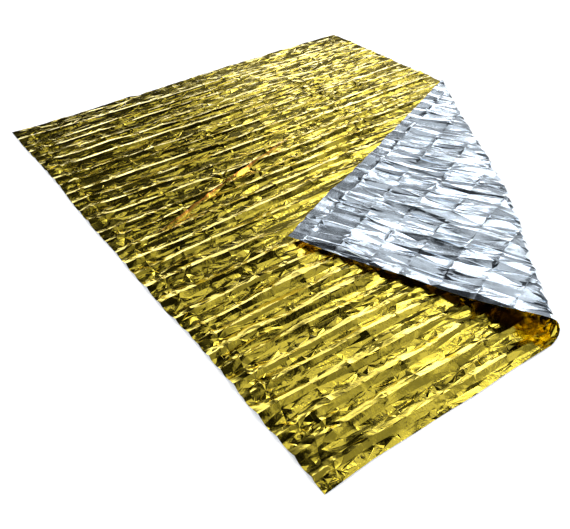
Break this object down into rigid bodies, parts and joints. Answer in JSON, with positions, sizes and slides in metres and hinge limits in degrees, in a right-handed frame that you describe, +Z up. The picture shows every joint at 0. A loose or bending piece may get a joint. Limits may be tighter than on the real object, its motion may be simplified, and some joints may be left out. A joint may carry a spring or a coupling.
{
  "type": "emergency foil blanket",
  "caption": "Crinkled metallised film rescue blanket, gold above and silver beneath, laid out with a corner turned over.",
  "frame": {"origin": "middle of the plan box of the blanket, on the surface it lies on", "axes": "+X along the short top edge towards the right, +Y up the length of the blanket away from the turned corner, +Z up"},
  "size_m": [1.609, 1.938, 0.0475],
  "materials": {
    "gold_film": "bright aluminium vapour coat on clear film, gold lacquered on the upper side and bare silver on the under side, crinkled",
    "silver_film": "bare bright aluminium vapour coat, crinkled"
  },
  "bodies": {
    "root": {"foil_blanket": "gold_film"}
  },
  "joints": []
}
